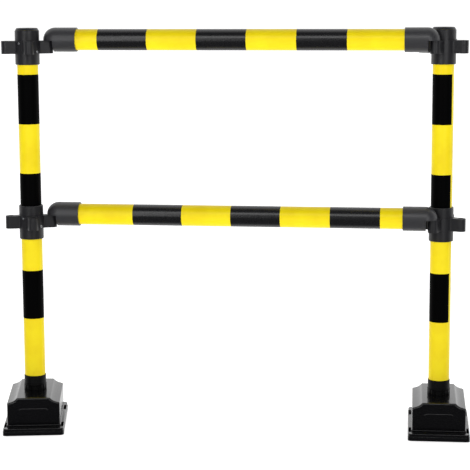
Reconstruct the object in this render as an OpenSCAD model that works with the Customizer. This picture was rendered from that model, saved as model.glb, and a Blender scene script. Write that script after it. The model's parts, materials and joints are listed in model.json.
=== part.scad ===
// Free-standing two-rail safety barrier for closing off an area.
// Two banded posts stand on weighted bases. Two banded rails hook by vertical pins
// on the lugs of couplers, which slide on the posts and are held by set screws.
// Origin: on the left post's axis at floor level. X runs to the right post,
// Y to the back, Z up. Millimetres.

/* [Layout] */
// Distance between the axes of the two posts
post_spacing = 1000; // [800:10:1500]
// Height of the whole barrier
total_h = 979.8; // [900:0.1:1100]
// Height difference between the upper and the lower coupler
coupler_pitch = 425; // [300:5:500]
// Turn of the left post's couplers about the post
left_coupler_turn = 15.5; // [0:0.5:30]
// Turn of the right post's couplers about the post
right_coupler_turn = -26; // [-40:0.5:0]
// Turn of the left base about the post
left_base_turn = 7.4; // [-20:0.1:20]
// Turn of the right base about the post
right_base_turn = -2.2; // [-20:0.1:20]

/* [Tubes] */
// Outside diameter of posts and rails
tube_d = 50.8; // [48:0.2:52]
// Wall of the tubes
tube_wall = 2; // [1.2:0.1:3]
// Length of one colour band
band_len = 120; // [60:5:160]
// Distance from the top of the barrier down to the first dark band
band_drop = 111.2; // [90:0.1:140]
// Thickness of the dark film
film_t = 0.15; // [0.1:0.05:0.2]
// Width of the gap left where the film's two ends nearly meet
film_gap = 15; // [4:1:24]
// Length of tube seen between a rail's first sleeve and its first dark band
rail_first_band = 53.5; // [40:0.5:70]

/* [Couplers] */
// Height of a coupler's collar
collar_h = 82; // [70:1:100]
// Outside diameter of the collar
collar_d = 58.8; // [55:0.1:62]
// Radial play of the collar on the banded post
collar_play = 0.3; // [0.25:0.05:0.5]
// Bottom of the lug row above the collar's lower end
lug_z = 26.2; // [20:0.1:40]
// Height of the lug row
lug_h = 31; // [20:1:34]
// Distance from the post's axis to a lug's pin bore
lug_reach = 50.5; // [46:0.5:60]
// Width of a lug
lug_w = 24; // [20:1:28]
// Outside diameter of the belt that ties the lugs together
belt_d = 62.5; // [58:0.5:64]
// Diameter of the bores in the lugs
lug_bore_d = 14; // [10:0.5:15]
// Diameter of the set screws
screw_d = 6; // [4:1:6]

/* [Rail ends] */
// Outside diameter of the sleeve and its dome
sleeve_d = 58.4; // [54:0.1:60]
// Length of the sleeve from the pin to its inner edge
sleeve_len = 71.5; // [60:0.5:90]
// How far the dome reaches past the pin
dome_past_pin = 11; // [8:0.5:14]
// Length of the notch on the inner side of the pin
notch_in = 16.6; // [14:0.2:18]
// Height of the rail's axis above the collar's lower end
rail_axis_z = 59.1; // [50:0.1:60]
// Radial play of a pin in its bore
pin_play = 0.05; // [0.02:0.01:0.1]

/* [Bases] */
// Width of the base's flange
flange_w = 148.5; // [120:0.5:180]
// Depth of the base's flange, front to back
flange_l = 254; // [200:1:300]
// Top of the flange above the floor
flange_top = 18; // [12:0.5:20]
// Top of the flange's lower, wider rim
rim_top = 11.5; // [8:0.5:14]
// How far the flange steps in above its rim
rim_step = 1.2; // [0.5:0.1:1.5]
// Width of the base's body
body_w = 128; // [100:1:130]
// Depth of the base's body
body_l = 200; // [160:1:210]
// Height of the raised deck
deck_z = 88; // [70:1:100]
// Width of the raised deck
deck_w = 80; // [60:1:90]
// Drop of the rounded step beside the deck
deck_step = 6.5; // [4:0.5:10]
// Further drop of the shoulder out to the body's side
shoulder_fall = 6; // [2:0.5:10]
// Wall of the moulded shell
shell_wall = 4; // [3:0.5:6]
// Distance between the two fixing slots of one side
slot_pitch = 160; // [120:5:180]
// How far the slots' middle lies in front of the post
slot_shift = 8; // [0:1:15]
// Length of a fixing slot
slot_len = 42; // [20:1:50]
// Width of a fixing slot
slot_w = 5; // [4:0.5:6]

/* [Hidden] */
$fn = 96;
yellow = [0.96, 0.87, 0.12];
black = [0.09, 0.09, 0.10];
gloss_black = [0.05, 0.05, 0.06];
steel = [0.68, 0.69, 0.71];
iron = [0.33, 0.32, 0.32];
eps = 0.01;

tube_r = tube_d / 2;
collar_bore_r = tube_r + film_t + collar_play;
cap_h = 5.4;
cap_skirt = 20;
cap_base_r = 28;
cap_top_r = 25;
cap_rim_h = 0.8;
post_top = total_h - cap_h;
upper_z = post_top - 0.3 - collar_h;
lower_z = upper_z - coupler_pitch;
collar_chamfer = 0.8;
fillet_r = 5;
fillet_bite = 0.05;
post_bands = 3;
rail_bands = 3;

ring_bottom = deck_z + 0.3;
ring_h = 13.3;
ring_r = 27.7;
ring_flutes = 16;
flute_r = 1.8;
sleeve_bottom = ring_bottom + ring_h + 0.3;
sleeve_lip = 0.8;
foot_sleeve_top = 124;
foot_sleeve_r = 26.7;
tube_bottom = sleeve_bottom + sleeve_lip;
spigot_r = 20;
spigot_wall = 3;
spigot_play = 0.3;
spigot_top = tube_bottom + 60;

mat_h = 4;
plate_h = 3;
plate_top = mat_h + plate_h;
ballast_w = 104;
ballast_l = 178;
ballast_h = 54;
flange_gap = 1;
flange_corner = 10;
skirt_grow = 4;
skirt_h = 3.5;
shoulder_steps = 12;
slot_x = (body_w + flange_w) / 4;
panel_rise = 1;
panel_top_w = 68;
panel_bottom_w = 84;
panel_z0 = 25;
panel_z1 = 61;
pin_r = lug_bore_d / 2 - pin_play;
pin_up = 12;
pin_down = 31;
tube_in_sleeve = 24;
notch_gap = 0.4;

// Places of the four pins, seen from above
left_pin = lug_reach * [cos(left_coupler_turn), sin(left_coupler_turn)];
right_pin = [post_spacing, 0]
    + lug_reach * [cos(right_coupler_turn - 90), sin(right_coupler_turn - 90)];
pin_run = right_pin - left_pin;
rail_len = norm(pin_run);
rail_turn = atan2(pin_run[1], pin_run[0]);

// ---- placing ----

module on_post(right) {
    translate([right ? post_spacing : 0, 0, 0]) children();
}

module on_base(right) {
    on_post(right) rotate(right ? right_base_turn : left_base_turn) children();
}

module on_coupler(right, z) {
    on_post(right) translate([0, 0, z])
        rotate(right ? right_coupler_turn : left_coupler_turn) children();
}

// A rail's own frame: origin on the left pin's axis, X along the rail to the right pin
module on_rail(z) {
    translate([left_pin[0], left_pin[1], z + rail_axis_z]) rotate(rail_turn) children();
}

// The frame of one rail end: origin on its pin, X pointing out past the pin
module on_rail_end(z, right) {
    on_rail(z) translate([right ? rail_len : 0, 0, 0]) rotate(right ? 0 : 180) children();
}

// ---- shared shapes ----

module ring(r_out, r_in, h) {
    difference() {
        cylinder(r = r_out, h = h);
        translate([0, 0, -1]) cylinder(r = r_in, h = h + 2);
    }
}

// Wrapped film: a thin ring with a gap along one side
module film_band(gap_turn) {
    difference() {
        ring(tube_r + film_t, tube_r, band_len);
        rotate(gap_turn) translate([0, -film_gap / 2, -1]) cube([tube_d, film_gap, band_len + 2]);
    }
}

module rounded_plate(w, l, h, r) {
    linear_extrude(h) union() {
        square([w - 2 * r, l], center = true);
        square([w, l - 2 * r], center = true);
        for (sx = [-1, 1], sy = [-1, 1])
            translate([sx * (w / 2 - r), sy * (l / 2 - r)]) circle(r);
    }
}

// ---- bases ----

// Front outline of the base's body, drawn in by a wall thickness
function shoulder_point(t, inset) = [
    deck_w / 2 - inset / 2 + t * (body_w - deck_w - inset) / 2,
    deck_z - inset - deck_step * (1 - pow(1 - t, 4)) - shoulder_fall * t
];

function half_outline(inset) = [
    for (i = [0:shoulder_steps]) shoulder_point(i / shoulder_steps, inset)
];

module body_outline(inset, bottom) {
    right = half_outline(inset);
    edge = body_w / 2 - inset;
    polygon(concat(
        [[-edge, bottom], [edge, bottom]],
        [for (i = [shoulder_steps:-1:0]) right[i]],
        [for (p = right) [-p[0], p[1]]]
    ));
}

module body_block(inset, bottom) {
    l = body_l - 2 * inset;
    translate([0, l / 2, 0]) rotate([90, 0, 0]) linear_extrude(l) body_outline(inset, bottom);
}

// Raised panel on the front and the back face
module face_panel() {
    translate([0, -body_l / 2 + eps, 0]) rotate([90, 0, 0]) linear_extrude(panel_rise)
        polygon([
            [-panel_bottom_w / 2, panel_z0], [panel_bottom_w / 2, panel_z0],
            [panel_top_w / 2, panel_z1], [-panel_top_w / 2, panel_z1]
        ]);
}

module fixing_slots() {
    for (sx = [-1, 1], sy = [-1, 1])
        translate([sx * slot_x, sy * slot_pitch / 2 - slot_shift, -1]) {
            run = slot_len - slot_w;
            translate([-slot_w / 2, -run / 2, 0]) cube([slot_w, run, flange_top + 2]);
            for (e = [-1, 1]) translate([0, e * run / 2, 0])
                cylinder(d = slot_w, h = flange_top + 2);
        }
}

module base_shell() {
    color(gloss_black) difference() {
        union() {
            translate([0, 0, flange_gap])
                rounded_plate(flange_w, flange_l, rim_top - flange_gap, flange_corner);
            translate([0, 0, flange_gap])
                rounded_plate(flange_w - 2 * rim_step, flange_l - 2 * rim_step,
                              flange_top - flange_gap, flange_corner - rim_step);
            translate([0, 0, flange_gap])
                rounded_plate(body_w + skirt_grow, body_l + 2 * skirt_grow,
                              flange_top + skirt_h - flange_gap, skirt_grow);
            body_block(0, flange_gap);
            face_panel();
            rotate(180) face_panel();
        }
        body_block(shell_wall, -1);
        cylinder(r = spigot_r + spigot_play, h = deck_z + 1);
        fixing_slots();
    }
}

module base_slab(z, h) {
    grip = shell_wall + 0.2;
    translate([0, 0, z])
        rounded_plate(body_w - 2 * grip, body_l - 2 * grip, h, 3);
}

module base_mat() { color(black) base_slab(0, mat_h); }

module base_plate() { color(steel) base_slab(mat_h, plate_h); }

module ballast() {
    color(iron) translate([0, 0, plate_top]) difference() {
        rounded_plate(ballast_w, ballast_l, ballast_h, 6);
        translate([0, 0, 1]) cylinder(r = spigot_r + spigot_play, h = ballast_h);
    }
}

module lock_ring() {
    color(black) translate([0, 0, ring_bottom]) difference() {
        ring(ring_r, spigot_r + spigot_play, ring_h);
        for (i = [0:ring_flutes - 1]) rotate(i * 360 / ring_flutes)
            translate([ring_r + flute_r * 0.45, 0, -1]) cylinder(r = flute_r, h = ring_h - 1, $fn = 24);
    }
}

// ---- posts ----

module foot_sleeve() {
    color(black) translate([0, 0, sleeve_bottom]) union() {
        ring(foot_sleeve_r, spigot_r, sleeve_lip);
        ring(foot_sleeve_r, tube_r, foot_sleeve_top - sleeve_bottom);
    }
}

module post_spigot() {
    foot = plate_top + 1.3;
    bore_r = spigot_r - spigot_wall;
    color(steel) difference() {
        union() {
            translate([0, 0, foot]) cylinder(r = spigot_r, h = spigot_top - foot);
            translate([0, 0, tube_bottom])
                cylinder(r = tube_r - tube_wall, h = spigot_top - tube_bottom);
        }
        translate([0, 0, foot - 1]) cylinder(r = bore_r, h = spigot_top);
    }
}

module post_tube() {
    color(yellow) translate([0, 0, tube_bottom])
        ring(tube_r, tube_r - tube_wall, post_top - tube_bottom);
}

module post_film(gap_turn) {
    color(black) for (i = [0:post_bands - 1])
        translate([0, 0, total_h - band_drop - band_len - 2 * i * band_len]) film_band(gap_turn);
}

module post_cap() {
    color(black) union() {
        translate([0, 0, post_top]) cylinder(r = cap_base_r, h = cap_rim_h);
        translate([0, 0, post_top + cap_rim_h])
            cylinder(r1 = cap_base_r, r2 = cap_top_r, h = cap_h - cap_rim_h);
        translate([0, 0, post_top - cap_skirt]) cylinder(r = tube_r - tube_wall, h = cap_skirt + eps);
    }
}

// ---- couplers ----

// Quarter of the hollow between two neighbouring lugs, rounded into belt and lug
module lug_fillet() {
    cy = lug_w / 2 + fillet_r;
    cx = sqrt(pow(belt_d / 2 + fillet_r - fillet_bite, 2) - cy * cy);
    difference() {
        polygon([[0, 0], [cx, 0], [cx, cy]]);
        translate([cx, cy]) circle(fillet_r);
    }
}

module lug_row() {
    linear_extrude(lug_h) union() {
        circle(d = belt_d);
        for (i = [0:3]) rotate(90 * i) {
            translate([0, -lug_w / 2]) square([lug_reach, lug_w]);
            translate([lug_reach, 0]) circle(d = lug_w);
            lug_fillet();
            mirror([0, 1]) lug_fillet();
        }
    }
}

// Set screws stand between the lugs, a quarter turn apart, one high and one low
module at_set_screws() {
    for (s = [[-135, lug_z + lug_h - 6], [-45, lug_z + 5]])
        rotate(s[0]) translate([0, 0, s[1]]) rotate([0, 90, 0]) children();
}

module coupler(turned) {
    color(black) difference() {
        union() {
            translate([0, 0, collar_chamfer]) cylinder(d = collar_d, h = collar_h - 2 * collar_chamfer);
            cylinder(d1 = collar_d - 2 * collar_chamfer, d2 = collar_d, h = collar_chamfer);
            translate([0, 0, collar_h - collar_chamfer])
                cylinder(d1 = collar_d, d2 = collar_d - 2 * collar_chamfer, h = collar_chamfer);
            translate([0, 0, lug_z]) lug_row();
        }
        translate([0, 0, -1]) cylinder(r = collar_bore_r, h = collar_h + 2);
        for (i = [0:3]) rotate(90 * i) translate([lug_reach, 0, -1])
            cylinder(d = lug_bore_d, h = collar_h + 2);
        rotate(turned ? 180 : 0) at_set_screws() cylinder(d = screw_d, h = belt_d);
    }
}

module set_screws(turned) {
    length = belt_d / 2 + 0.6 - collar_bore_r;
    color(steel) rotate(turned ? 180 : 0) at_set_screws() translate([0, 0, collar_bore_r])
        difference() {
            cylinder(d = screw_d, h = length);
            translate([0, 0, length - 2.5]) cylinder(r = 1.7, h = 4, $fn = 6);
        }
}

// ---- rails ----

module rail_tube() {
    run = rail_len - 2 * tube_in_sleeve;
    color(yellow) translate([tube_in_sleeve, 0, 0]) rotate([0, 90, 0])
        ring(tube_r, tube_r - tube_wall, run);
}

// Dark bands, counted from one end; the lower rail is the same rail turned end for end
module rail_film(from_right) {
    first = sleeve_len + rail_first_band;
    color(black) for (i = [0:rail_bands - 1]) {
        near = first + 2 * i * band_len;
        start = from_right ? rail_len - near - band_len : near;
        translate([start, 0, 0]) rotate([0, 90, 0]) film_band(60);
    }
}

module rail_end() {
    r = sleeve_d / 2;
    dome_x = dome_past_pin - r;
    color(black) difference() {
        union() {
            translate([-sleeve_len, 0, 0]) rotate([0, 90, 0]) cylinder(r = r, h = sleeve_len + dome_x);
            translate([dome_x, 0, 0]) sphere(r = r);
        }
        translate([-sleeve_len - 1, 0, 0]) rotate([0, 90, 0])
            cylinder(r = tube_r, h = sleeve_len + 1 - tube_in_sleeve);
        translate([-notch_in, -r - 1, -r - 1])
            cube([notch_in + r, 2 * r + 2, r + 1 + lug_z + lug_h + notch_gap - rail_axis_z]);
        translate([0, 0, -r - 1]) cylinder(r = pin_r, h = r + 1 + pin_up);
    }
}

module rail_pin() {
    color(steel) translate([0, 0, -pin_down]) union() {
        translate([0, 0, 1.5]) cylinder(r = pin_r, h = pin_down + pin_up - 1.5);
        cylinder(r1 = pin_r - 1.5, r2 = pin_r, h = 1.5);
    }
}

on_base(false) base_shell();  // left_base_shell
on_base(false) base_plate();  // left_base_plate
on_base(false) base_mat();  // left_base_mat
on_base(false) ballast();  // left_ballast
on_base(false) lock_ring();  // left_lock_ring
on_post(false) foot_sleeve();  // left_foot_sleeve
on_post(false) post_spigot();  // left_post_spigot
on_post(false) post_tube();  // left_post_tube
on_post(false) post_film(100);  // left_post_bands
on_post(false) post_cap();  // left_post_cap
on_base(true) base_shell();  // right_base_shell
on_base(true) base_plate();  // right_base_plate
on_base(true) base_mat();  // right_base_mat
on_base(true) ballast();  // right_ballast
on_base(true) lock_ring();  // right_lock_ring
on_post(true) foot_sleeve();  // right_foot_sleeve
on_post(true) post_spigot();  // right_post_spigot
on_post(true) post_tube();  // right_post_tube
on_post(true) post_film(-20);  // right_post_bands
on_post(true) post_cap();  // right_post_cap
on_coupler(false, upper_z) coupler(false);  // left_upper_coupler
on_coupler(false, upper_z) set_screws(false);  // left_upper_set_screws
on_coupler(false, lower_z) coupler(false);  // left_lower_coupler
on_coupler(false, lower_z) set_screws(false);  // left_lower_set_screws
on_coupler(true, upper_z) coupler(true);  // right_upper_coupler
on_coupler(true, upper_z) set_screws(true);  // right_upper_set_screws
on_coupler(true, lower_z) coupler(true);  // right_lower_coupler
on_coupler(true, lower_z) set_screws(true);  // right_lower_set_screws
on_rail(upper_z) rail_tube();  // upper_rail_tube
on_rail(upper_z) rail_film(false);  // upper_rail_bands
on_rail_end(upper_z, false) rail_end();  // upper_rail_left_end
on_rail_end(upper_z, true) rail_end();  // upper_rail_right_end
on_rail_end(upper_z, false) rail_pin();  // upper_rail_left_pin
on_rail_end(upper_z, true) rail_pin();  // upper_rail_right_pin
on_rail(lower_z) rail_tube();  // lower_rail_tube
on_rail(lower_z) rail_film(true);  // lower_rail_bands
on_rail_end(lower_z, false) rail_end();  // lower_rail_left_end
on_rail_end(lower_z, true) rail_end();  // lower_rail_right_end
on_rail_end(lower_z, false) rail_pin();  // lower_rail_left_pin
on_rail_end(lower_z, true) rail_pin();  // lower_rail_right_pin
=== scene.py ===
"""Looks of a free-standing two-rail safety barrier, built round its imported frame.

Two banded posts stand on weighted bases and two banded rails hook on the lugs of their
couplers. Every visible part is rebuilt here as a detailed mesh in the place that the frame
gives, and every part gets a procedural finish. Sizes in the classes are millimetres.
"""

import json
import logging
import math
from dataclasses import dataclass, field
from enum import Enum
from typing import Iterable, Sequence, Union

import bmesh
import bpy
from mathutils import Matrix, Vector


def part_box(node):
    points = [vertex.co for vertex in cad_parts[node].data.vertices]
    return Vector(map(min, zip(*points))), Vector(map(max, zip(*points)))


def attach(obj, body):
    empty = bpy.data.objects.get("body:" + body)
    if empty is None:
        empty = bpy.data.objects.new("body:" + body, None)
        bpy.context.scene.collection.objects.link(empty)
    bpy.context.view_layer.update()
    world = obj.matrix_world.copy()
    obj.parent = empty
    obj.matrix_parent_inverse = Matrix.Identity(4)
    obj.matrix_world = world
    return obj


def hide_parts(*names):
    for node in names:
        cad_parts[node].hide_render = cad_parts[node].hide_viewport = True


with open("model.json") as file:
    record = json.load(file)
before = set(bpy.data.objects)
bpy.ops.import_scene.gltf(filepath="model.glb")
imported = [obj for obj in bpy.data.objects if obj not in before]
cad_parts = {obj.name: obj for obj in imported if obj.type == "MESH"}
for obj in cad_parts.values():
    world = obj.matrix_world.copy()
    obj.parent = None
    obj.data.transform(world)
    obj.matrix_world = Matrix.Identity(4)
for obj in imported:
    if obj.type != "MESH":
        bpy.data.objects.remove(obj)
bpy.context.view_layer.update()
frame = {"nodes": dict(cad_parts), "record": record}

log = logging.getLogger("barrier")

MM = 0.001
Number = Union[int, float]
Point = tuple[float, float]
Colour = tuple[float, float, float]


# ---------------------------------------------------------------- shader graphs


class Value:
    """A number that a node gives, with arithmetic that adds Math nodes."""

    def __init__(self, graph: "Graph", socket: bpy.types.NodeSocket) -> None:
        """Wraps one output socket of a graph."""
        self.graph = graph
        self.socket = socket

    def _math(self, operation: str, *terms: Union["Value", Number]) -> "Value":
        """Adds a Math node.

        Args:
            operation: Blender's name of the operation.
            terms: what its inputs take, in order.

        Returns:
            The node's result.
        """
        inputs = {i: term for i, term in enumerate(terms)}
        return self.graph.node("ShaderNodeMath", {"operation": operation}, inputs)

    def __add__(self, other: Union["Value", Number]) -> "Value":
        """Sum."""
        return self._math("ADD", self, other)

    __radd__ = __add__

    def __sub__(self, other: Union["Value", Number]) -> "Value":
        """Difference."""
        return self._math("SUBTRACT", self, other)

    def __rsub__(self, other: Number) -> "Value":
        """Difference from a number."""
        return self._math("SUBTRACT", other, self)

    def __mul__(self, other: Union["Value", Number]) -> "Value":
        """Product."""
        return self._math("MULTIPLY", self, other)

    __rmul__ = __mul__

    def __truediv__(self, other: Union["Value", Number]) -> "Value":
        """Quotient."""
        return self._math("DIVIDE", self, other)

    def __pow__(self, other: Number) -> "Value":
        """Power."""
        return self._math("POWER", self, other)

    def above(self, low: float, high: float) -> "Value":
        """Rises smoothly from 0 at low to 1 at high."""
        settings = {"interpolation_type": "SMOOTHSTEP"}
        return self.graph.node("ShaderNodeMapRange", settings, {0: self, 1: low, 2: high})


class Graph:
    """A node tree, with one method that adds any node."""

    def __init__(self, tree: bpy.types.NodeTree) -> None:
        """Takes over a node tree and empties it."""
        self.tree = tree
        tree.nodes.clear()

    def node(
        self,
        kind: str,
        settings: dict[str, object] | None = None,
        inputs: dict[Union[int, str], object] | None = None,
        output: Union[int, str] = 0,
    ) -> Value:
        """Adds a node.

        Args:
            kind: the node's type.
            settings: its properties, set first.
            inputs: values or links of its input sockets, by index or name.
            output: which output to return.

        Returns:
            The chosen output.
        """
        made = self.tree.nodes.new(kind)
        for name, value in (settings or {}).items():
            setattr(made, name, value)
        for key, value in (inputs or {}).items():
            if isinstance(value, Value):
                self.tree.links.new(value.socket, made.inputs[key])
            else:
                made.inputs[key].default_value = value
        outputs = made.outputs
        return Value(self, outputs[output]) if len(outputs) else Value(self, None)

    def blend_colour(self, mask: Value, low: Union[Value, Colour], high: Union[Value, Colour]) -> Value:
        """Mixes two colours by a mask.

        Args:
            mask: 0 gives low and 1 gives high.
            low: a colour or a link.
            high: a colour or a link.

        Returns:
            The mixed colour.
        """
        ends = [c if isinstance(c, Value) else (*c, 1.0) for c in (low, high)]
        inputs = {0: mask, 6: ends[0], 7: ends[1]}
        return self.node("ShaderNodeMix", {"data_type": "RGBA"}, inputs, 2)

    def noise(self, size_mm: float, detail: float = 2.0, stretch: Sequence[float] = (1, 1, 1)) -> Value:
        """Noise in the piece's own space.

        Args:
            size_mm: rough size of one blotch.
            detail: octaves.
            stretch: factors along X, Y and Z; a small one draws the noise out.

        Returns:
            Noise from 0 to 1.
        """
        place = self.node("ShaderNodeTexCoord", output="Object")
        place = self.node("ShaderNodeVectorMath", {"operation": "MULTIPLY"}, {0: place, 1: tuple(stretch)})
        inputs = {"Vector": place, "Scale": 1 / (size_mm * MM), "Detail": detail, "Roughness": 0.55}
        return self.node("ShaderNodeTexNoise", {}, inputs, "Fac")

    def facing_up(self) -> Value:
        """How far the surface faces up, from 0 to 1, in world space."""
        normal = self.node("ShaderNodeNewGeometry", output="Normal")
        up = self.node("ShaderNodeSeparateXYZ", {}, {0: normal}, "Z")
        return up.above(0.2, 1.0)


class Surface(Graph):
    """A material with one Principled shader."""

    def __init__(self, name: str) -> None:
        """Makes the material and its shader."""
        self.material = bpy.data.materials.new(name)
        self.material.use_nodes = True
        super().__init__(self.material.node_tree)
        self.shader = self.tree.nodes.new("ShaderNodeBsdfPrincipled")
        end = self.tree.nodes.new("ShaderNodeOutputMaterial")
        self.tree.links.new(self.shader.outputs[0], end.inputs[0])

    def put(self, socket: str, value: Union[Value, Number, Colour]) -> None:
        """Sets one socket of the shader.

        Args:
            socket: its name.
            value: a link, a number or a colour.
        """
        if isinstance(value, Value):
            self.tree.links.new(value.socket, self.shader.inputs[socket])
        elif isinstance(value, tuple):
            self.shader.inputs[socket].default_value = (*value, 1.0)
        else:
            self.shader.inputs[socket].default_value = value

    def relief(self, height: Value, depth_mm: float, normal: Value | None = None) -> Value:
        """A Bump node.

        Args:
            height: the height from 0 to 1.
            depth_mm: how deep a height of 1 is.
            normal: the relief that this one lies on.

        Returns:
            The bent normal.
        """
        inputs: dict[Union[int, str], object] = {"Height": height, "Strength": 1.0}
        inputs["Distance"] = depth_mm * MM
        if normal is not None:
            inputs["Normal"] = normal
        return self.node("ShaderNodeBump", {}, inputs)


# ---------------------------------------------------------------- finishes


class Finish:
    """A finish makes its material once and hands it out."""

    slot: str

    def material(self) -> bpy.types.Material:
        """The finish's material, made on first use."""
        name = f"{self.slot}.finish"
        return bpy.data.materials.get(name) or self.build(Surface(name))

    def build(self, surface: Surface) -> bpy.types.Material:
        """Fills the surface in; each finish has its own."""
        raise NotImplementedError


@dataclass(frozen=True)
class PowderCoat(Finish):
    """Yellow powder coat: fine orange peel, slightly uneven gloss and shade."""

    slot: str = "yellow_coat"
    light: Colour = (0.94, 0.755, 0.005)
    deep: Colour = (0.89, 0.68, 0.003)
    peel_mm: float = 1.6
    peel_depth_mm: float = 0.012

    def build(self, surface: Surface) -> bpy.types.Material:
        """Builds the coat."""
        cloud = surface.noise(55, 3)
        speck = surface.noise(0.7, 1)
        surface.put("Base Color", surface.blend_colour(cloud.above(0.3, 0.7), self.light, self.deep))
        surface.put("Roughness", 0.26 + cloud * 0.10 + speck * 0.05)
        peel = surface.noise(self.peel_mm, 2)
        surface.put("Normal", surface.relief(peel, self.peel_depth_mm))
        surface.put("Specular IOR Level", 0.2)
        return surface.material


@dataclass(frozen=True)
class Film(Finish):
    """Smooth black film: glossy, with faint ripples and hairline rub marks."""

    slot: str = "post_film"
    colour: Colour = (0.0012, 0.0012, 0.0013)
    rough: float = 0.42
    shine: float = 0.02
    along: tuple[float, float, float] = (1, 1, 0.08)

    def build(self, surface: Surface) -> bpy.types.Material:
        """Builds the film."""
        ripple = surface.noise(18, 2)
        rubs = surface.noise(0.9, 3, self.along).above(0.62, 0.8)
        lighter = tuple(c * 2.2 for c in self.colour)
        surface.put("Base Color", surface.blend_colour(rubs * 0.6, self.colour, lighter))
        surface.put("Roughness", self.rough + ripple * 0.06 + rubs * 0.10)
        surface.put("Normal", surface.relief(ripple, 0.05))
        surface.put("Specular IOR Level", self.shine)
        return surface.material


@dataclass(frozen=True)
class Moulding(Finish):
    """Black moulded plastic: spark-eroded grain, blushes of gloss and light dust."""

    slot: str = "coupler_plastic"
    colour: Colour = (0.013, 0.013, 0.015)
    dust: Colour = (0.05, 0.05, 0.053)
    rough: float = 0.40
    grain_mm: float = 0.55
    grain_depth_mm: float = 0.03
    flow_depth_mm: float = 0.05
    dusty: float = 0.5
    shine: float = 0.5

    def build(self, surface: Surface) -> bpy.types.Material:
        """Builds the plastic."""
        flow = surface.noise(22, 3)
        grain = surface.noise(self.grain_mm, 2)
        settled = surface.facing_up() * surface.noise(3.5, 4).above(0.35, 0.75) * self.dusty
        surface.put("Base Color", surface.blend_colour(settled, self.colour, self.dust))
        surface.put("Roughness", self.rough + flow * 0.10 + grain * 0.05 + settled * 0.15)
        skin = surface.relief(flow, self.flow_depth_mm)
        surface.put("Normal", surface.relief(grain, self.grain_depth_mm, skin))
        surface.put("Specular IOR Level", self.shine)
        return surface.material


@dataclass(frozen=True)
class Zinc(Finish):
    """Zinc plating on steel, brushed and slightly blotchy."""

    slot: str = "zinc_steel"
    bright: Colour = (0.62, 0.63, 0.65)
    dull: Colour = (0.42, 0.43, 0.44)

    def build(self, surface: Surface) -> bpy.types.Material:
        """Builds the plating."""
        blotch = surface.noise(6, 4)
        brushed = surface.noise(0.8, 2, (1, 1, 0.1))
        surface.put("Base Color", surface.blend_colour(blotch, self.bright, self.dull))
        surface.put("Metallic", 1.0)
        surface.put("Roughness", 0.25 + blotch * 0.2)
        surface.put("Normal", surface.relief(brushed, 0.01))
        return surface.material


@dataclass(frozen=True)
class Rubber(Finish):
    """Dull black rubber with a gritty skin."""

    slot: str = "rubber_mat"
    colour: Colour = (0.018, 0.018, 0.018)
    worn: Colour = (0.05, 0.048, 0.045)

    def build(self, surface: Surface) -> bpy.types.Material:
        """Builds the rubber."""
        worn = surface.noise(9, 4).above(0.45, 0.75)
        surface.put("Base Color", surface.blend_colour(worn, self.colour, self.worn))
        surface.put("Roughness", 0.72 + worn * 0.15)
        surface.put("Normal", surface.relief(surface.noise(0.8, 3), 0.06))
        return surface.material


@dataclass(frozen=True)
class Casting(Finish):
    """Raw cast iron: sandy relief and patches of scale."""

    slot: str = "ballast_iron"
    grey: Colour = (0.11, 0.105, 0.10)
    scale: Colour = (0.13, 0.07, 0.04)

    def build(self, surface: Surface) -> bpy.types.Material:
        """Builds the casting."""
        patch = surface.noise(14, 5).above(0.5, 0.7)
        surface.put("Base Color", surface.blend_colour(patch, self.grey, self.scale))
        surface.put("Metallic", 0.4)
        surface.put("Roughness", 0.65 + patch * 0.2)
        surface.put("Normal", surface.relief(surface.noise(1.5, 4), 0.25))
        return surface.material


YELLOW = PowderCoat()
POST_FILM = Film()
RAIL_FILM = Film("rail_film", (0.006, 0.006, 0.007), rough=0.24, shine=0.5, along=(0.08, 1, 1))
COUPLER = Moulding(rough=0.32)
RAIL_END = Moulding("rail_end_plastic", (0.032, 0.032, 0.035), (0.07, 0.07, 0.073), rough=0.30)
SLEEVE = Moulding("sleeve_plastic", (0.004, 0.004, 0.004), (0.02, 0.02, 0.021), rough=0.42, shine=0.15)
RING = Moulding("ring_plastic", (0.002, 0.002, 0.002), (0.012, 0.012, 0.012), rough=0.34, shine=0.12)
BASE = Moulding(
    "base_plastic", (0.0015, 0.0015, 0.002), (0.014, 0.014, 0.015), rough=0.10,
    grain_mm=0.9, grain_depth_mm=0.004, flow_depth_mm=0.06, dusty=0.15)
ZINC = Zinc()
RUBBER = Rubber()
IRON = Casting()


# ---------------------------------------------------------------- mesh building


def arc(centre: Point, radius: float, start: float, end: float, steps: int) -> list[Point]:
    """Points on an arc.

    Args:
        centre: its centre.
        radius: its radius.
        start: first angle in degrees.
        end: last angle in degrees.
        steps: how many stretches it has.

    Returns:
        The points, both ends included.
    """
    angles = [math.radians(start + (end - start) * i / steps) for i in range(steps + 1)]
    return [(centre[0] + radius * math.cos(a), centre[1] + radius * math.sin(a)) for a in angles]


def rounded(
    points: Sequence[Point], radius: Union[float, dict[int, float]], steps: int = 4
) -> list[Point]:
    """A closed outline with its corners rounded.

    Args:
        points: the corners, in order.
        radius: the rounding, cut down where a side is short, or the roundings of some
            corners by their index, which leaves the others as they are.
        steps: stretches at each corner.

    Returns:
        The new outline.
    """
    out: list[Point] = []
    count = len(points)
    for i, corner in enumerate(points):
        wanted = radius.get(i, 0) if isinstance(radius, dict) else radius
        if not wanted:
            out.append(corner)
            continue
        here = Vector(corner)
        back = Vector(points[i - 1]) - here
        ahead = Vector(points[(i + 1) % count]) - here
        reach = min(wanted, back.length * 0.45, ahead.length * 0.45)
        first, last = here + back.normalized() * reach, here + ahead.normalized() * reach
        for k in range(steps + 1):
            t = k / steps
            spot = first * (1 - t) ** 2 + here * 2 * t * (1 - t) + last * t**2
            out.append((spot.x, spot.y))
    return out


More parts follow.
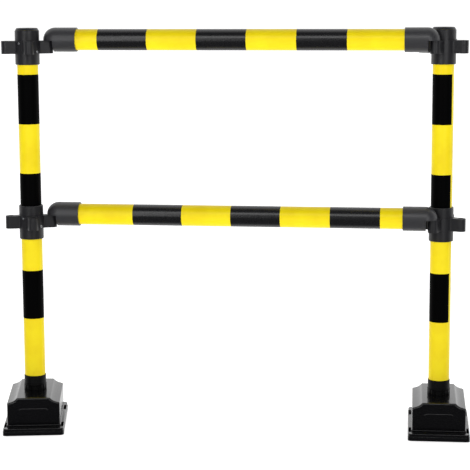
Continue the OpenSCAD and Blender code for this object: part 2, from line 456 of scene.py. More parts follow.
def rounded_box(width: float, length: float, radius: float, steps: int = 6) -> list[Point]:
    """Outline of a rectangle with round corners, centred on the origin."""
    x, y = width / 2 - radius, length / 2 - radius
    corners = ((x, y, 0), (-x, y, 90), (-x, -y, 180), (x, -y, 270))
    return [p for cx, cy, a in corners for p in arc((cx, cy), radius, a, a + 90, steps)]


class Body:
    """A closed mesh under construction, in millimetres."""

    def __init__(self) -> None:
        """Starts empty."""
        self.mesh = bmesh.new()

    @classmethod
    def turned(cls, profile: Sequence[Point], around: int = 96, sweep: float = 360.0) -> "Body":
        """A shape turned about Z.

        Args:
            profile: closed outline of radius and height; points on the axis are shared.
            around: stretches round the whole turn.
            sweep: degrees that the shape covers, from -sweep/2 to sweep/2.

        Returns:
            The new body.
        """
        self = cls()
        whole = sweep >= 360
        count = around if whole else max(3, round(around * sweep / 360)) + 1
        rings = []
        for r, z in profile:
            if r < 1e-6:
                pole = self.mesh.verts.new((0, 0, z))
                rings.append([pole] * count)
                continue
            ring = []
            for i in range(count):
                a = 2 * math.pi * i / around if whole else math.radians(sweep * (i / (count - 1) - 0.5))
                ring.append(self.mesh.verts.new((r * math.cos(a), r * math.sin(a), z)))
            rings.append(ring)
        last = count if whole else count - 1
        for low, high in zip(rings, rings[1:] + rings[:1]):
            for i in range(last):
                j = (i + 1) % count
                corners = list(dict.fromkeys((low[i], low[j], high[j], high[i])))
                if len(corners) > 2:
                    self.mesh.faces.new(corners)
        if not whole:
            self.mesh.faces.new([ring[0] for ring in rings])
            self.mesh.faces.new([ring[-1] for ring in reversed(rings)])
        return self.tidy()

    @classmethod
    def lofted(cls, sections: Sequence[tuple[Sequence[Point], float]]) -> "Body":
        """A skin over outlines that lie above each other.

        Args:
            sections: outlines with equally many points, each with its height.

        Returns:
            The new body.
        """
        self = cls()
        rings = [[self.mesh.verts.new((x, y, z)) for x, y in outline] for outline, z in sections]
        self.mesh.faces.new(rings[0][::-1])
        self.mesh.faces.new(rings[-1])
        for low, high in zip(rings, rings[1:]):
            for i in range(len(low)):
                j = (i + 1) % len(low)
                self.mesh.faces.new((low[i], low[j], high[j], high[i]))
        return self.tidy()

    @classmethod
    def raised(cls, outline: Sequence[Point], low: float, high: float) -> "Body":
        """An outline pulled up along Z from low to high."""
        return cls.lofted([(outline, low), (outline, high)])

    @classmethod
    def slab(cls, size: Point, corner: float, heights: Point, edge: float, steps: int = 5) -> "Body":
        """A slab with round corners and a rounded upper edge.

        Args:
            size: width along X and length along Y.
            corner: radius of the upright corners.
            heights: lower and upper side.
            edge: radius of the upper edge.
            steps: stretches across the upper edge.

        Returns:
            The new body.
        """
        sections = [(rounded_box(*size, corner, 8), heights[0])]
        for i in range(steps + 1):
            a = math.pi / 2 * i / steps
            inset = edge * (1 - math.cos(a))
            outline = rounded_box(size[0] - 2 * inset, size[1] - 2 * inset, corner - inset, 8)
            sections.append((outline, heights[1] - edge * (1 - math.sin(a))))
        return cls.lofted(sections)

    def absorb(self, other: "Body") -> "Body":
        """Takes another body in as a separate shell."""
        data = bpy.data.meshes.new("shell")
        other.mesh.to_mesh(data)
        other.mesh.free()
        self.mesh.from_mesh(data)
        bpy.data.meshes.remove(data)
        return self

    def tidy(self) -> "Body":
        """Makes all faces look outward."""
        bmesh.ops.remove_doubles(self.mesh, verts=self.mesh.verts, dist=1e-5)
        bmesh.ops.recalc_face_normals(self.mesh, faces=self.mesh.faces)
        return self

    def moved(self, matrix: Matrix) -> "Body":
        """Moves the whole body by a matrix."""
        bmesh.ops.transform(self.mesh, matrix=matrix, verts=self.mesh.verts)
        return self

    def with_body(self, other: "Body", operation: str) -> "Body":
        """Joins another body to this one or cuts it away.

        Args:
            other: the other body, used up.
            operation: UNION or DIFFERENCE.

        Returns:
            This body.
        """
        pair = []
        for part in (self, other):
            data = bpy.data.meshes.new("work")
            part.mesh.to_mesh(data)
            part.mesh.free()
            pair.append(bpy.data.objects.new("work", data))
            bpy.context.scene.collection.objects.link(pair[-1])
        cut = pair[0].modifiers.new("cut", "BOOLEAN")
        cut.operation, cut.object, cut.solver = operation, pair[1], "EXACT"
        done = pair[0].evaluated_get(bpy.context.evaluated_depsgraph_get()).to_mesh()
        self.mesh = bmesh.new()
        self.mesh.from_mesh(done)
        for part in pair:
            data = part.data
            bpy.data.objects.remove(part)
            bpy.data.meshes.remove(data)
        bmesh.ops.remove_doubles(self.mesh, verts=self.mesh.verts, dist=1e-4)
        return self

    def plus(self, other: "Body") -> "Body":
        """Union with another body."""
        return self.with_body(other, "UNION")

    def minus(self, other: "Body") -> "Body":
        """This body with another cut away."""
        return self.with_body(other, "DIFFERENCE")

    def eased(self, width: float, steps: int = 3, angle: float = 32.0) -> "Body":
        """Rounds every sharp edge.

        Args:
            width: width of the rounding.
            steps: stretches across it.
            angle: edges that bend more than this, in degrees, are sharp.

        Returns:
            This body.
        """
        flat = math.radians(0.5)
        bmesh.ops.dissolve_limit(
            self.mesh, angle_limit=flat, verts=self.mesh.verts, edges=self.mesh.edges)
        limit = math.radians(angle)
        sharp = [e for e in self.mesh.edges if len(e.link_faces) == 2 and e.calc_face_angle(0) > limit]
        bmesh.ops.bevel(
            self.mesh, geom=sharp, offset=width, offset_type="OFFSET", segments=steps,
            profile=0.5, affect="EDGES", clamp_overlap=True)
        return self

    def finished(self, name: str, place: Matrix, smooth: float = 40.0) -> bpy.types.Object:
        """Turns the body into an object in metres.

        Args:
            name: the object's name.
            place: where the body goes, in metres.
            smooth: edges that bend less than this, in degrees, are shaded smooth.

        Returns:
            The object.
        """
        turned = place.to_3x3().to_4x4() @ Matrix.Scale(MM, 4)
        bmesh.ops.transform(self.mesh, matrix=turned, verts=self.mesh.verts)
        bmesh.ops.recalc_face_normals(self.mesh, faces=self.mesh.faces)
        limit = math.radians(smooth)
        for face in self.mesh.faces:
            face.smooth = True
        for edge in self.mesh.edges:
            edge.smooth = len(edge.link_faces) == 2 and edge.calc_face_angle(0) < limit
        data = bpy.data.meshes.new(name)
        self.mesh.to_mesh(data)
        self.mesh.free()
        made = bpy.data.objects.new(name, data)
        bpy.context.scene.collection.objects.link(made)
        made.matrix_world = Matrix.Translation(place.translation)
        even = made.modifiers.new("even shading", "WEIGHTED_NORMAL")
        even.keep_sharp = True
        return made


# ---------------------------------------------------------------- places from the frame


class Side(Enum):
    """The two posts."""

    LEFT = "left"
    RIGHT = "right"


class Level(Enum):
    """The two rails and the couplers that hold them."""

    UPPER = "upper"
    LOWER = "lower"


NODE_BODY = {
    node: body
    for body, nodes in frame["record"]["behaviour"]["bodies"].items()
    for node in nodes
}


def middle(node: str) -> Vector:
    """Centre of a node's box, in metres."""
    low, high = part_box(node)
    return (low + high) / 2


def span(node: str) -> tuple[float, float]:
    """Lowest and highest point of a node, in millimetres."""
    low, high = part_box(node)
    return low.z / MM, high.z / MM


def post_axis(side: Side) -> Vector:
    """Where a post's axis meets the floor, in metres."""
    centre = middle(f"{side.value}_post_tube")
    return Vector((centre.x, centre.y, 0))


def coupler_turn(side: Side) -> float:
    """How far a post's couplers are turned about it, in radians, from the bore of a back lug."""
    name = f"{side.value}_upper_back_lug_bore"
    bore = next(m for m in frame["record"]["mounts"] if m["name"] == name)
    reach = Vector(bore["pos_m"]) - post_axis(side)
    return math.atan2(reach.y, reach.x) - math.pi / 2


def base_turn(side: Side) -> float:
    """How far a base is turned about its post, in radians: the turn that makes its plate narrowest."""
    plate = frame["nodes"][f"{side.value}_base_plate"]
    points = [v.co.to_2d() for v in plate.data.vertices]

    def width(angle: float) -> float:
        """Width of the plate across the direction of an angle."""
        across = Vector((math.cos(angle), math.sin(angle)))
        reach = [p.dot(across) for p in points]
        return max(reach) - min(reach)

    turns = [math.radians(t / 20) for t in range(-400, 401)]
    return min(turns, key=width)


def place(where: Vector, turn: float = 0.0) -> Matrix:
    """A matrix that turns about Z and then moves."""
    return Matrix.Translation(where) @ Matrix.Rotation(turn, 4, "Z")


def dress(piece: bpy.types.Object, finish: Finish, *nodes: str) -> bpy.types.Object:
    """Gives a piece its finish and ties it to the CAD nodes it stands for.

    Args:
        piece: the new object.
        finish: what it is made of.
        nodes: the nodes that it replaces, all on one body.

    Returns:
        The piece.
    """
    piece.data.materials.append(finish.material())
    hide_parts(*nodes)
    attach(piece, NODE_BODY[nodes[0]])
    log.info("%s: %d faces, stands for %s", piece.name, len(piece.data.polygons), ", ".join(nodes))
    return piece


def refinish(node: str, finish: Finish) -> None:
    """Gives a CAD node that stays as it is a better material."""
    kept = frame["nodes"][node]
    if not kept.material_slots:
        kept.data.materials.append(finish.material())
    for slot in kept.material_slots:
        slot.material = finish.material()
    log.info("%s keeps its CAD shape in %s", node, finish.slot)


# ---------------------------------------------------------------- tubes and film


@dataclass
class Tube:
    """Coated tube with its wrapped bands of dark film."""

    radius: float = 25.4
    wall: float = 2.0
    film: float = 0.15
    lift: float = 0.01
    band: float = 120.0
    around: int = 128

    def body(self, low: float, high: float) -> Body:
        """The bare tube along Z from low to high, with eased ends."""
        inner = self.radius - self.wall
        profile = [(inner, low), (self.radius, low), (self.radius, high), (inner, high)]
        return Body.turned(rounded(profile, 0.5, 3), self.around)

    def bands(self, starts: Iterable[float], gap: float) -> Body:
        """The film bands along Z.

        Args:
            starts: where each band begins.
            gap: width of the gap between the film's two ends.

        Returns:
            All bands as one body, with the gap at -X.
        """
        outer = self.radius + self.film
        inner = self.radius + self.lift
        sweep = 360 - math.degrees(gap / self.radius)
        made = Body()
        for start in starts:
            end = start + self.band
            profile = [(inner, start), (outer, start), (outer, end), (inner, end)]
            made.absorb(Body.turned(profile, self.around, sweep))
        return made


# ---------------------------------------------------------------- posts


@dataclass
class Post:
    """One post: tube, film, cap, foot sleeve and the spigot inside."""

    side: Side
    film_gap_turn: float
    tube: Tube = field(default_factory=Tube)
    cap_rim: float = 28.0
    cap_top: float = 25.0
    cap_h: float = 5.4
    sleeve_r: float = 26.7
    sleeve_lip: float = 0.8
    film_gap: float = 15.0

    def node(self, part: str) -> str:
        """Name of one of the post's nodes."""
        return f"{self.side.value}_{part}"

    def here(self, turn: float = 0.0) -> Matrix:
        """The post's place."""
        return place(post_axis(self.side), turn)

    def make_tube(self) -> None:
        """The coated tube."""
        name = self.node("post_tube")
        made = self.tube.body(*span(name)).finished(f"{self.side.value}.post_tube", self.here())
        dress(made, YELLOW, name)

    def make_film(self) -> None:
        """The dark film bands."""
        name = self.node("post_bands")
        low, high = span(name)
        count = round(((high - low) / self.tube.band + 1) / 2)
        starts = [low + 2 * i * self.tube.band for i in range(count)]
        turn = math.radians(self.film_gap_turn + 180)
        made = self.tube.bands(starts, self.film_gap)
        made = made.finished(f"{self.side.value}.post_film", self.here(turn))
        dress(made, POST_FILM, name)

    def make_cap(self) -> None:
        """The plug with its chamfered head and a shallow dish on top."""
        name = self.node("post_cap")
        low, top = span(name)
        head = top - self.cap_h
        plug = self.tube.radius - self.tube.wall
        profile = [(0, low)] + rounded(
            [(plug, low), (plug, head), (self.cap_rim, head), (self.cap_rim, head + 0.8),
             (self.cap_top, top), (self.cap_top - 4, top), (self.cap_top - 5, top - 0.5), (6, top - 0.5)],
            0.7, 4)[5:]
        profile = [(0, low), (plug, low)] + profile[1:] + [(0, top - 0.5)]
        made = Body.turned(profile, 96).finished(f"{self.side.value}.post_cap", self.here())
        dress(made, COUPLER, name)

    def make_foot_sleeve(self) -> None:
        """The plain sleeve at the post's foot."""
        name = self.node("foot_sleeve")
        low, top = span(name)
        inner = self.tube.radius
        profile = rounded(
            [(20, low), (self.sleeve_r, low), (self.sleeve_r, top), (inner + 0.02, top),
             (inner + 0.02, low + self.sleeve_lip), (20, low + self.sleeve_lip)], 0.35, 3)
        made = Body.turned(profile, 96).finished(f"{self.side.value}.foot_sleeve", self.here())
        dress(made, SLEEVE, name)

    def build(self) -> None:
        """Builds the whole post."""
        self.make_tube()
        self.make_film()
        self.make_cap()
        self.make_foot_sleeve()
        refinish(self.node("post_spigot"), ZINC)


# ---------------------------------------------------------------- bases


@dataclass
class Base:
    """One weighted base: moulded shell, lock ring, mat, and the plate and ballast inside."""

    side: Side
    flange_w: float = 148.5
    flange_l: float = 254.0
    flange_top: float = 18.0
    flange_low: float = 1.0
    flange_corner: float = 10.0
    rim_top: float = 11.5
    rim_step: float = 1.2
    body_w: float = 128.0
    body_l: float = 200.0
    skirt_grow: float = 4.0
    skirt_h: float = 3.5
    deck_z: float = 88.0
    deck_w: float = 80.0
    deck_step: float = 6.5
    shoulder_fall: float = 6.0
    shoulder_steps: int = 6
    face_edge: float = 4.0
    crown: float = 0.6
    wall: float = 4.0
    hole_r: float = 20.3
    slot_w: float = 5.0
    slot_l: float = 42.0
    slot_pitch: float = 160.0
    slot_shift: float = 8.0
    slot_flare: float = 0.7
    panel_low: float = 25.0
    panel_high: float = 61.0
    panel_foot: float = 84.0
    panel_head: float = 68.0
    panel_rise: float = 1.0
    ring_r: float = 27.7
    ring_rim: float = 1.4
    ring_step: float = 0.6
    flutes: int = 16
    flute_depth: float = 1.0

    def node(self, part: str) -> str:
        """Name of one of the base's nodes."""
        return f"{self.side.value}_{part}"

    def here(self) -> Matrix:
        """The base's place."""
        return place(post_axis(self.side), base_turn(self.side))

    def outline(self, inset: float, bottom: float, sunk: float = 0.0) -> list[Point]:
        """Front outline of the body, with eased deck edges and shoulders.

        Args:
            inset: how far it is drawn in.
            bottom: where it ends below.
            sunk: how far the deck lies below its middle.

        Returns:
            The outline, anticlockwise.
        """
        half = []
        for i in range(self.shoulder_steps + 1):
            t = i / self.shoulder_steps
            x = self.deck_w / 2 - inset / 2 + t * (self.body_w - self.deck_w - inset) / 2
            fall = self.deck_step * (1 - (1 - t) ** 4) + self.shoulder_fall * t
            half.append((x, self.deck_z - inset - sunk - fall))
        edge = self.body_w / 2 - inset
        outline = [(-edge, bottom), (edge, bottom), *half[::-1], *[(-x, z) for x, z in half]]
        return rounded(outline, {i: 3.0 for i in range(2, len(outline))}, 4)

    def block(self, inset: float, bottom: float, edge: float) -> Body:
        """The outline pulled through from front to back over a crowned deck.

        Args:
            inset: how far all sides are drawn in.
            bottom: where it ends below.
            edge: rounding of the front and back edges.

        Returns:
            The block.
        """
        reach = self.body_l / 2 - inset
        turns = [math.pi / 2 * (1 - i / 6) for i in range(7)]
        ends = [(reach, 0)]
        if edge:
            ends = [(reach - edge + edge * math.sin(a), edge * (1 - math.cos(a))) for a in turns]
        flat = [((reach - edge) * (i / 9 - 1), 0) for i in range(1, 18)]
        stations = [(-y, e) for y, e in ends] + flat + ends[::-1]
        sections = []
        for y, e in stations:
            sunk = self.crown * (y / reach) ** 2
            sections.append((self.outline(inset + e, bottom, sunk), y))
        return Body.lofted(sections).moved(Matrix.Rotation(math.pi / 2, 4, "X"))

    def panel(self, turn: float) -> Body:
        """The raised panel of the front or, turned, of the back face, with a sloped border."""
        reach = self.body_l / 2
        sections = []
        for inset, out in ((0, -1), (0, 0.15), (1.2, self.panel_rise)):
            corners = [(-self.panel_foot / 2 + inset, self.panel_low + inset),
                       (self.panel_foot / 2 - inset, self.panel_low + inset),
                       (self.panel_head / 2 - inset, self.panel_high - inset),
                       (-self.panel_head / 2 + inset, self.panel_high - inset)]
            sections.append((rounded(corners, 5, 5), reach + out))
        made = Body.lofted(sections).moved(Matrix.Rotation(math.pi / 2, 4, "X"))
        return made.moved(Matrix.Rotation(turn, 4, "Z"))

    def slot(self, x: float, y: float) -> Body:
        """A fixing slot's cutter, flared at its upper edge."""
        sections = []
        flare, top = self.slot_flare, self.flange_top
        for grow, z in ((0, -5), (0, top - flare), (flare, top + 0.01), (flare, top + 2)):
            width = self.slot_w + 2 * grow
            sections.append((rounded_box(width, self.slot_l + 2 * grow, width / 2 - 0.01, 8), z))
        return Body.lofted(sections).moved(Matrix.Translation((x, y, 0)))

    def make_shell(self) -> None:
        """The glossy shell with stepped flange, skirt, shoulders, deck and panels."""
        low, top, corner = self.flange_low, self.flange_top, self.flange_corner
        step, skirt = self.rim_step, self.skirt_grow
        upper_size = (self.flange_w - 2 * step, self.flange_l - 2 * step)
        foot_size = (self.body_w + skirt, self.body_l + 2 * skirt)
        made = Body.slab((self.flange_w, self.flange_l), corner, (low, self.rim_top), 1.0)
        made = made.plus(Body.slab(upper_size, corner - step, (low + 0.3, top), 1.8))
        made = made.plus(Body.slab(foot_size, skirt, (low + 0.6, top + self.skirt_h), 1.6))
        made = made.plus(self.block(0, low + 0.9, self.face_edge))
        for turn in (0, math.pi):
            made = made.plus(self.panel(turn))
        made = made.minus(self.block(self.wall, -5, 0))
        made = made.minus(Body.raised(arc((0, 0), self.hole_r, 0, 352.5, 47), 0, self.deck_z + 5))
        x = (self.body_w + self.flange_w) / 4
        for sx in (-1, 1):
            for sy in (-1, 1):
                made = made.minus(self.slot(sx * x, sy * self.slot_pitch / 2 - self.slot_shift))
        shell = made.finished(f"{self.side.value}.base_shell", self.here(), 50)
        dress(shell, BASE, self.node("base_shell"))

    def make_ring(self) -> None:
        """The fluted lock ring."""
        name = self.node("lock_ring")
        low, top = span(name)
        steps = self.flutes * 10
        fluted = []
        for i in range(steps):
            a = 2 * math.pi * i / steps
            dip = (0.5 + 0.5 * math.cos(self.flutes * a)) ** 2
            r = self.ring_r - self.flute_depth * dip
            fluted.append((r * math.cos(a), r * math.sin(a)))
        collar = arc((0, 0), self.ring_r, 0, 357, 119)
        made = Body.raised(fluted, low, top - self.ring_step)
        made = made.plus(Body.raised(collar, top - self.ring_rim, top))
        made = made.minus(Body.raised(arc((0, 0), self.hole_r, 0, 355, 71), low - 5, top + 5))
        made.eased(0.3, 2, 50)
        dress(made.finished(f"{self.side.value}.lock_ring", self.here(), 35), RING, name)

    def make_mat(self) -> None:
        """The rubber mat, ribbed below."""
        name = self.node("base_mat")
        low, top = span(name)
        grip = self.wall + 0.2
        half = self.body_w / 2 - grip
        ribs = 14
        pitch = 2 * half / ribs
        under = []
        for i in range(ribs):
            x = -half + i * pitch
            under += [(x, low), (x + pitch * 0.6, low)]
            under += [(x + pitch * 0.68, low + 1), (x + pitch * 0.92, low + 1)]
        under += [(half - 0.3, low), (half, low), (half, top), (-half, top)]
        reach = self.body_l / 2 - grip
        made = Body.raised(under, -reach, reach).moved(Matrix.Rotation(math.pi / 2, 4, "X"))
        dress(made.finished(f"{self.side.value}.base_mat", self.here(), 30), RUBBER, name)

    def build(self) -> None:
        """Builds the whole base."""
        self.make_shell()
        self.make_ring()
        self.make_mat()
        refinish(self.node("base_plate"), ZINC)
        refinish(self.node("ballast"), IRON)


# ---------------------------------------------------------------- couplers


@dataclass
class Coupler:
    """One lugged coupler with its two set screws."""

    side: Side
    level: Level
    collar_d: float = 58.8
    bore_r: float = 25.85
    edge: float = 0.8
    belt_d: float = 62.5
    lug_low: float = 26.2
    lug_h: float = 31.0
    lug_w: float = 24.0
    reach: float = 50.5
    fillet: float = 5.0
    lug_bore: float = 14.0
    screw_d: float = 6.0
    screw_bevel: float = 0.5
    screw_proud: float = 0.6
    socket_r: float = 1.7
    socket_deep: float = 2.5
    screw_turns: tuple[float, float] = (-135.0, -45.0)
    screw_heights: tuple[float, float] = (51.2, 31.2)

    @property
    def node(self) -> str:
        """Name of the coupler's node."""
        return f"{self.side.value}_{self.level.value}_coupler"

    def here(self) -> Matrix:
        """The coupler's place, on its lower edge."""
        foot = post_axis(self.side)
        foot.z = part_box(self.node)[0].z
        return place(foot, coupler_turn(self.side))

    def lug_outline(self) -> list[Point]:
        """Outline of the belt and its four lugs, seen from above."""
        belt, half = self.belt_d / 2, self.lug_w / 2
        cy = half + self.fillet
        cx = math.sqrt((belt + self.fillet) ** 2 - cy**2)
        lean = math.degrees(math.atan2(cy, cx))
        out = []
        for i in range(4):
            lug = arc((cx, -cy), self.fillet, 180 - lean, 90, 6)
            lug += arc((self.reach, 0), half, -90, 90, 20)
            lug += arc((cx, cy), self.fillet, 270, 180 + lean, 6)
            lug += arc((0, 0), belt, lean, 90 - lean, 6)[1:-1]
            c, s = math.cos(math.pi / 2 * i), math.sin(math.pi / 2 * i)
            out += [(x * c - y * s, x * s + y * c) for x, y in lug]
        return out

    def screw_places(self) -> list[Matrix]:
        """Where the set screws stand, each along its own Z outwards from the post's axis."""
        extra = 180 if self.side is Side.RIGHT else 0
        return [
            Matrix.Rotation(math.radians(turn + extra), 4, "Z")
            @ Matrix.Translation((0, 0, height))
            @ Matrix.Rotation(math.pi / 2, 4, "Y")
            for turn, height in zip(self.screw_turns, self.screw_heights)
        ]

    def make_collar(self) -> None:
        """The collar with its lugs, bores and screw holes."""
        low, high = span(self.node)
        tall = high - low
        r, e = self.collar_d / 2, self.edge
        collar = [(0, 0), (r - e, 0), (r, e), (r, tall - e), (r - e, tall), (0, tall)]
        made = Body.turned(collar, 96)
        made = made.plus(Body.raised(self.lug_outline(), self.lug_low, self.lug_low + self.lug_h))
        made = made.minus(Body.raised(arc((0, 0), self.bore_r, 0, 356.25, 95), -5, tall + 5))
        for i in range(4):
            a = math.pi / 2 * i
            centre = (self.reach * math.cos(a), self.reach * math.sin(a), 0)
            bore = Body.raised(arc((0, 0), self.lug_bore / 2, 0, 350, 35), -5, tall + 5)
            made = made.minus(bore.moved(Matrix.Translation(centre)))
        for where in self.screw_places():
            hole = Body.raised(arc((0, 0), self.screw_d / 2, 0, 345, 23), self.bore_r - 4, self.belt_d)
            made = made.minus(hole.moved(where))
        made.eased(0.6, 3, 30)
        name = f"{self.side.value}.{self.level.value}_coupler"
        dress(made.finished(name, self.here(), 40), COUPLER, self.node)

    def make_screws(self) -> None:
        """The set screws with their hexagon sockets."""
        node = f"{self.side.value}_{self.level.value}_set_screws"
        out = self.belt_d / 2 + self.screw_proud
        joined = Body()
        for where in self.screw_places():
            r, tip, bevel = self.screw_d / 2 - 0.02, self.bore_r, self.screw_bevel
            outer = [(0, tip), (r - bevel, tip), (r, tip + bevel)]
            outer += [(r, out - bevel), (r - bevel, out), (0, out)]
            screw = Body.turned(outer, 32)
            socket = Body.raised(arc((0, 0), self.socket_r, 0, 300, 5), out - self.socket_deep, out + 2)
            joined.absorb(screw.minus(socket).moved(where))
        name = f"{self.side.value}.{self.level.value}_set_screws"
        dress(joined.finished(name, self.here(), 35), ZINC, node)

    def build(self) -> None:
        """Builds the coupler."""
        self.make_collar()
        self.make_screws()


# ---------------------------------------------------------------- rails


@dataclass
class Rail:
    """One rail: tube, film, two notched ends and their pins."""

    level: Level
    tube: Tube = field(default_factory=Tube)
    sleeve_r: float = 29.2
    sleeve_len: float = 71.5
    dome_past_pin: float = 11.0
    notch_in: float = 16.6
    ceiling: float = -1.5
    in_sleeve: float = 24.0
    pin_tip: float = 1.5
    first_band: float = 53.5
    film_gap: float = 15.0
    film_gap_turn: float = 60.0

    def node(self, part: str) -> str:
        """Name of one of the rail's nodes."""
        return f"{self.level.value}_rail_{part}"

    def pin(self, side: Side) -> Vector:
        """Where a pin's axis crosses the rail's axis, in metres."""
        spot = middle(self.node(f"{side.value}_pin"))
        spot.z = middle(self.node("tube")).z
        return spot

    @property
    def length(self) -> float:
        """Distance between the pins."""
        return (self.pin(Side.RIGHT) - self.pin(Side.LEFT)).length / MM

    def here(self) -> Matrix:
        """The rail's frame: on the left pin, X to the right pin."""
        run = self.pin(Side.RIGHT) - self.pin(Side.LEFT)
        return place(self.pin(Side.LEFT), math.atan2(run.y, run.x))

    def at_end(self, side: Side) -> Matrix:
        """The frame of one end: on its pin, X pointing out past the pin."""
        if side is Side.LEFT:
            return self.here() @ Matrix.Rotation(math.pi, 4, "Z")
        return self.here() @ Matrix.Translation((self.length * MM, 0, 0))

    def along(self) -> Matrix:
        """Turns Z to the rail's X."""
        return Matrix.Rotation(math.pi / 2, 4, "Y")

    def make_tube(self) -> None:
        """The coated tube."""
        made = self.tube.body(self.in_sleeve, self.length - self.in_sleeve).moved(self.along())
        dress(made.finished(f"{self.level.value}_rail.tube", self.here()), YELLOW, self.node("tube"))

    def make_film(self) -> None:
        """The dark film bands; the lower rail is the upper one turned end for end."""
        first = self.sleeve_len + self.first_band
        starts = [first + 2 * i * self.tube.band for i in range(3)]
        if self.level is Level.LOWER:
            starts = [self.length - s - self.tube.band for s in starts]
        made = self.tube.bands(starts, self.film_gap)
        made.moved(Matrix.Rotation(math.radians(self.film_gap_turn + 180), 4, "Z")).moved(self.along())
        dress(made.finished(f"{self.level.value}_rail.film", self.here()), RAIL_FILM, self.node("bands"))

    def end_body(self) -> Body:
        """A rail end in its own frame."""
        r = self.sleeve_r
        dome = self.dome_past_pin - r
        bore = self.tube.radius + 0.02
        steps = 4
        rim = [(bore, -self.sleeve_len), (r, -self.sleeve_len), (r, dome), (bore, dome)]
        profile = [(0, -self.in_sleeve), (bore, -self.in_sleeve)]
        profile += rounded(rim, 0.9, steps)[:2 * (steps + 1)]
        profile += arc((0, dome), r, 0, 90, 20)[:-1] + [(0, self.dome_past_pin)]
        made = Body.turned(profile, 96).moved(self.along())
        notch = [(-self.notch_in, -2 * r), (2 * r, -2 * r), (2 * r, 2 * r), (-self.notch_in, 2 * r)]
        made = made.minus(Body.raised(notch, -2 * r, self.ceiling))
        return made.eased(0.6, 3, 35)

    def make_end(self, side: Side) -> None:
        """One rail end."""
        made = self.end_body().finished(f"{self.level.value}_rail.{side.value}_end", self.at_end(side))
        dress(made, RAIL_END, self.node(f"{side.value}_end"))

    def make_pin(self, side: Side) -> None:
        """The chamfered pin that stands in one rail end."""
        name = self.node(f"{side.value}_pin")
        axis_z = middle(self.node("tube")).z / MM
        low, high = (z - axis_z for z in span(name))
        r = (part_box(name)[1].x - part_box(name)[0].x) / 2 / MM
        tip = self.pin_tip
        outline = [(0, low), (r - tip, low), (r, low + tip), (r, high), (0, high)]
        made = Body.turned(rounded(outline, {1: 0.4, 2: 0.4, 3: 0.4}, 3), 64)
        dress(made.finished(f"{self.level.value}_rail.{side.value}_pin", self.at_end(side)), ZINC, name)

    def build(self) -> None:
        """Builds the rail."""
        self.make_tube()
        self.make_film()
        for side in Side:
            self.make_end(side)
            self.make_pin(side)


# ---------------------------------------------------------------- studio


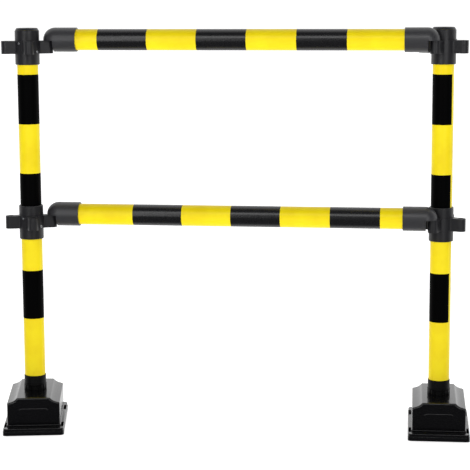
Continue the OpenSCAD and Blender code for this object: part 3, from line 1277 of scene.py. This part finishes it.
@dataclass
class Studio:
    """Pale floor, soft lights and the camera."""

    camera_at: tuple[float, float, float] = (0.77355, -3.91074, 1.09931)
    yaw: float = 3.986
    pitch: float = 9.014
    roll: float = -0.275
    lens: float = 124.67
    floor_size: float = 40000.0
    floor_glow: float = 0.68
    world_strength: float = 1.08
    strip_x: tuple[float, float] = (-1.1, 2.5)
    strip_y: float = -3.9
    strip_size: Point = (0.9, 2.4)
    strip_power: float = 24.0
    over_at: tuple[float, float, float] = (0.5, -2.9, 2.7)
    over_size: Point = (3.0, 1.1)
    over_power: float = 32.0

    def make_floor(self) -> None:
        """A wide pale floor."""
        made = Body.raised(rounded_box(self.floor_size, self.floor_size, 800, 8), -40, 0)
        floor = made.finished("floor", place(Vector((0.5, 2.0, 0))))
        surface = Surface("pale_floor")
        pale = surface.blend_colour(surface.noise(900, 2), (0.93, 0.93, 0.93), (0.90, 0.90, 0.90))
        surface.put("Base Color", pale)
        surface.put("Roughness", 0.65)
        surface.put("Emission Color", (1.0, 1.0, 1.0))
        surface.put("Emission Strength", self.floor_glow)
        floor.data.materials.append(surface.material)
        floor.visible_glossy = False

    def make_world(self) -> None:
        """White surroundings, dimmer in front than behind."""
        world = bpy.data.worlds.new("studio")
        bpy.context.scene.world = world
        world.use_nodes = True
        graph = Graph(world.node_tree)
        way = graph.node("ShaderNodeTexCoord", output="Generated")
        back = graph.node("ShaderNodeSeparateXYZ", {}, {0: way}, "Y").above(-0.25, 0.4)
        shade = graph.blend_colour(back, (0.08, 0.08, 0.085), (1.0, 1.0, 1.0))
        light = graph.node("ShaderNodeBackground", {}, {"Color": shade, "Strength": self.world_strength})
        end = graph.tree.nodes.new("ShaderNodeOutputWorld")
        graph.tree.links.new(light.socket, end.inputs[0])

    def make_light(self, name: str, at: Vector, to: Vector, size: Point, power: float) -> None:
        """A soft rectangular light.

        Args:
            name: its name.
            at: where it stands.
            to: where it points.
            size: its width and height in metres.
            power: watts.
        """
        data = bpy.data.lights.new(name, "AREA")
        data.shape, data.size, data.size_y, data.energy = "RECTANGLE", size[0], size[1], power
        lamp = bpy.data.objects.new(name, data)
        bpy.context.scene.collection.objects.link(lamp)
        lamp.location = at
        lamp.rotation_euler = (to - at).to_track_quat("-Z", "Y").to_euler()

    def make_lights(self) -> None:
        """Two tall strips at the front and one wide box overhead."""
        centre = Vector((self.camera_at[0], 0, 0.75))
        for name, x in zip(("box_left", "box_right"), self.strip_x):
            at = Vector((x, self.strip_y, 1.3))
            self.make_light(name, at, centre, self.strip_size, self.strip_power)
        over = Vector(self.over_at)
        self.make_light("box_over", over, Vector((over.x, 0, 0.8)), self.over_size, self.over_power)

    def make_camera(self) -> None:
        """The camera."""
        data = bpy.data.cameras.new("camera")
        data.lens, data.sensor_width = self.lens, 36.0
        camera = bpy.data.objects.new("camera", data)
        bpy.context.scene.collection.objects.link(camera)
        turn = Matrix.Rotation(math.radians(self.yaw), 4, "Z")
        tilt = Matrix.Rotation(math.radians(90 - self.pitch), 4, "X")
        roll = Matrix.Rotation(math.radians(self.roll), 4, "Z")
        camera.matrix_world = Matrix.Translation(self.camera_at) @ turn @ tilt @ roll
        bpy.context.scene.camera = camera

    def build(self) -> None:
        """Sets the studio up."""
        self.make_camera()
        self.make_floor()
        self.make_world()
        self.make_lights()
        bpy.context.scene.view_settings.view_transform = "Standard"


# ---------------------------------------------------------------- the whole


def main() -> None:
    """Builds the studio and every sub-assembly, in order."""
    logging.basicConfig(level=logging.INFO, format="%(name)s: %(message)s")
    Studio().build()
    Post(Side.LEFT, film_gap_turn=100).build()
    Post(Side.RIGHT, film_gap_turn=-20).build()
    for side in Side:
        Base(side).build()
        for level in Level:
            Coupler(side, level).build()
    for level in Level:
        Rail(level).build()


if __name__ == "__main__":
    main()
